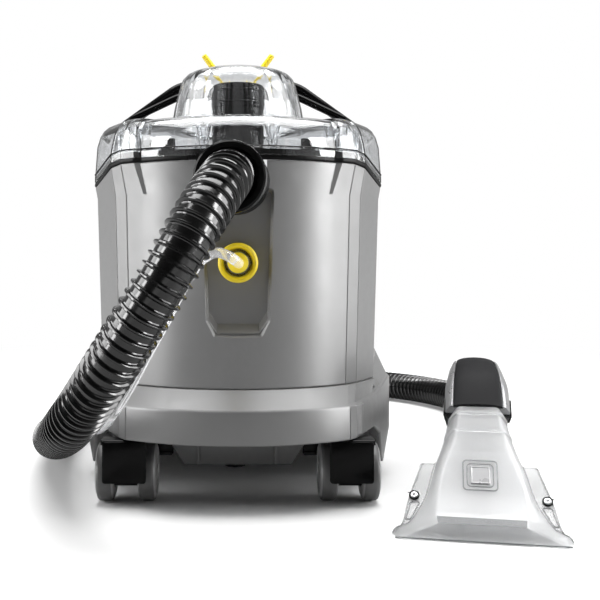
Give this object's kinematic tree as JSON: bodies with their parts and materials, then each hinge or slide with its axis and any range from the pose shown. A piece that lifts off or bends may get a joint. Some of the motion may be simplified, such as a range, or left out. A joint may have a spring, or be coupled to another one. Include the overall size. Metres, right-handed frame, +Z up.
{
  "type": "carpet cleaner machine",
  "caption": "Compact wheeled spray-extraction carpet cleaner with clear lid, ribbed suction hose, solution tube and clear hand nozzle.",
  "frame": {"origin": "on the floor, under the centre of the box round the machine and its standing hand tool, hose and tube left out", "axes": "+Z up, +Y from the front of the machine, where the hose port is, to its back, +X to the right of someone who faces the front"},
  "size_m": [0.6131, 1.0306, 0.487],
  "materials": {
    "casing_grey": "fine moulded texture, satin",
    "dark_grey": "satin",
    "black_plastic": "moulded, half gloss",
    "black_rubber": "matt",
    "clear_plastic": "polished and transparent",
    "yellow_plastic": "half gloss",
    "white_plastic": "satin",
    "silver_plastic": "silver grey, half gloss",
    "steel": "bright",
    "brass": "machined",
    "wheel_grey": "light grey hub with a dark tread",
    "hose_black": "glossy, with close ribs",
    "tube_clear": "soft and transparent"
  },
  "bodies": {
    "root": {"tank_housing": "casing_grey", "base_housing": "casing_grey", "rear_housing": "casing_grey", "underside_cover": "casing_grey", "grip_insert": "dark_grey", "drain_plug": "black_plastic", "suction_port": "black_plastic", "hose_cuff": "black_plastic", "pump_body": "black_plastic", "exhaust_grille": "black_plastic", "cable_inlet": "black_plastic", "switch_panel": "black_plastic", "fan_case": "black_plastic", "tool_cuff": "black_plastic", "spray_jet": "black_plastic", "nozzle_front": "clear_plastic", "nozzle_back": "clear_plastic", "coupling_body": "yellow_plastic", "tube_plug": "yellow_plastic", "fresh_water_filter": "white_plastic", "tool_handle": "silver_plastic", "handle_pin_left": "steel", "handle_pin_right": "steel", "turbine_motor": "steel", "rear_axle": "steel", "trigger_pin": "steel", "nozzle_screw_left": "steel", "nozzle_screw_right": "steel", "valve_body": "brass", "suction_hose": "hose_black", "solution_tube": "tube_clear"},
    "carry_handle": {"carry_handle": "black_plastic"},
    "cord_hook": {"cord_hook": "yellow_plastic"},
    "dirty_tank": {"dirty_water_tank": "clear_plastic", "separator_plate": "black_plastic", "lint_filter": "steel", "riser_duct": "black_plastic", "float_cage": "black_plastic"},
    "float_ball": {"float_ball": "yellow_plastic"},
    "lid": {"lid": "clear_plastic", "dome": "clear_plastic", "lid_gasket": "black_rubber", "lid_lug_left": "black_plastic", "lid_lug_right": "black_plastic"},
    "lid_handle": {"lid_handle": "black_plastic"},
    "suction_switch": {"suction_switch": "dark_grey"},
    "pump_switch": {"pump_switch": "dark_grey"},
    "release_collar": {"release_collar": "clear_plastic"},
    "impeller": {"impeller": "steel"},
    "pump_plunger": {"pump_plunger": "steel"},
    "trigger_lever": {"trigger_lever": "black_plastic"},
    "valve_stem": {"valve_stem": "steel"},
    "rear_wheel_left": {"rear_wheel_left": "wheel_grey"},
    "rear_wheel_right": {"rear_wheel_right": "wheel_grey"},
    "caster_left": {"caster_fork_left": "black_plastic"},
    "caster_left_outer_wheel": {"caster_left_outer_wheel": "wheel_grey"},
    "caster_left_inner_wheel": {"caster_left_inner_wheel": "wheel_grey"},
    "caster_right": {"caster_fork_right": "black_plastic"},
    "caster_right_outer_wheel": {"caster_right_outer_wheel": "wheel_grey"},
    "caster_right_inner_wheel": {"caster_right_inner_wheel": "wheel_grey"}
  },
  "joints": [
    {"name": "carry_handle_tilt", "type": "hinge", "parent": "root", "child": "carry_handle", "pos_m": [-0.0613, 0.0908, 0.35], "axis": [-1, 0, 0], "range_deg": [0, 80]},
    {"name": "cord_hook_turn", "type": "hinge", "parent": "carry_handle", "child": "cord_hook", "pos_m": [-0.0613, 0.0908, 0.447], "axis": [1, 0, 0], "range_deg": [-30, 30]},
    {"name": "dirty_tank_lift", "type": "slide", "parent": "root", "child": "dirty_tank", "axis": [0, 0, 1], "range_m": [0, 0.15]},
    {"name": "float_rise", "type": "slide", "parent": "dirty_tank", "child": "float_ball", "axis": [0, 0, 1], "range_m": [0, 0.011]},
    {"name": "lid_lift", "type": "slide", "parent": "dirty_tank", "child": "lid", "axis": [0, 0, 1], "range_m": [0, 0.12]},
    {"name": "lid_handle_tilt", "type": "hinge", "parent": "lid", "child": "lid_handle", "pos_m": [-0.0613, 0.0488, 0.384], "axis": [1, 0, 0], "range_deg": [0, 80]},
    {"name": "suction_switch_rock", "type": "hinge", "parent": "root", "child": "suction_switch", "pos_m": [-0.0873, 0.1638, 0.3364], "axis": [1, 0, 0], "range_deg": [-8, 8]},
    {"name": "pump_switch_rock", "type": "hinge", "parent": "root", "child": "pump_switch", "pos_m": [-0.0353, 0.1638, 0.3364], "axis": [1, 0, 0], "range_deg": [-8, 8]},
    {"name": "release_collar_push", "type": "slide", "parent": "root", "child": "release_collar", "axis": [0, 1, 0], "range_m": [0, 0.004], "stiffness_N_per_m": 400},
    {"name": "impeller_spin", "type": "hinge", "parent": "root", "child": "impeller", "pos_m": [-0.0613, 0.1808, 0.13], "axis": [0, 0, 1], "continuous": true},
    {"name": "pump_plunger_stroke", "type": "slide", "parent": "root", "child": "pump_plunger", "axis": [0, -1, 0], "range_m": [0, 0.004], "stiffness_N_per_m": 1500},
    {"name": "trigger_pull", "type": "hinge", "parent": "root", "child": "trigger_lever", "pos_m": [0.1703, -0.14752, 0.09], "axis": [0.9781, -0.2079, 0], "range_deg": [0, 7], "stiffness_Nm_per_rad": 2, "springref_deg": -2.86},
    {"name": "valve_stem_lift", "type": "slide", "parent": "root", "child": "valve_stem", "axis": [0, 0, 1], "range_m": [0, 0.003]},
    {"name": "rear_wheel_left_spin", "type": "hinge", "parent": "root", "child": "rear_wheel_left", "pos_m": [-0.2073, 0.1788, 0.048], "axis": [1, 0, 0], "continuous": true},
    {"name": "rear_wheel_right_spin", "type": "hinge", "parent": "root", "child": "rear_wheel_right", "pos_m": [0.0847, 0.1788, 0.048], "axis": [1, 0, 0], "continuous": true},
    {"name": "caster_left_swivel", "type": "hinge", "parent": "root", "child": "caster_left", "pos_m": [-0.1683, -0.1672, 0.06], "axis": [0, 0, 1], "continuous": true},
    {"name": "caster_left_outer_spin", "type": "hinge", "parent": "caster_left", "child": "caster_left_outer_wheel", "pos_m": [-0.1683, -0.1512, 0.0285], "axis": [1, 0, 0], "continuous": true},
    {"name": "caster_left_inner_spin", "type": "hinge", "parent": "caster_left", "child": "caster_left_inner_wheel", "pos_m": [-0.1683, -0.1512, 0.0285], "axis": [1, 0, 0], "continuous": true},
    {"name": "caster_right_swivel", "type": "hinge", "parent": "root", "child": "caster_right", "pos_m": [0.0457, -0.1672, 0.06], "axis": [0, 0, 1], "continuous": true},
    {"name": "caster_right_outer_spin", "type": "hinge", "parent": "caster_right", "child": "caster_right_outer_wheel", "pos_m": [0.0457, -0.1512, 0.0285], "axis": [1, 0, 0], "continuous": true},
    {"name": "caster_right_inner_spin", "type": "hinge", "parent": "caster_right", "child": "caster_right_inner_wheel", "pos_m": [0.0457, -0.1512, 0.0285], "axis": [1, 0, 0], "continuous": true}
  ],
  "couplings": [
    {"joint": "valve_stem_lift", "follows": "trigger_pull", "m_per_rad": 0.024}
  ]
}
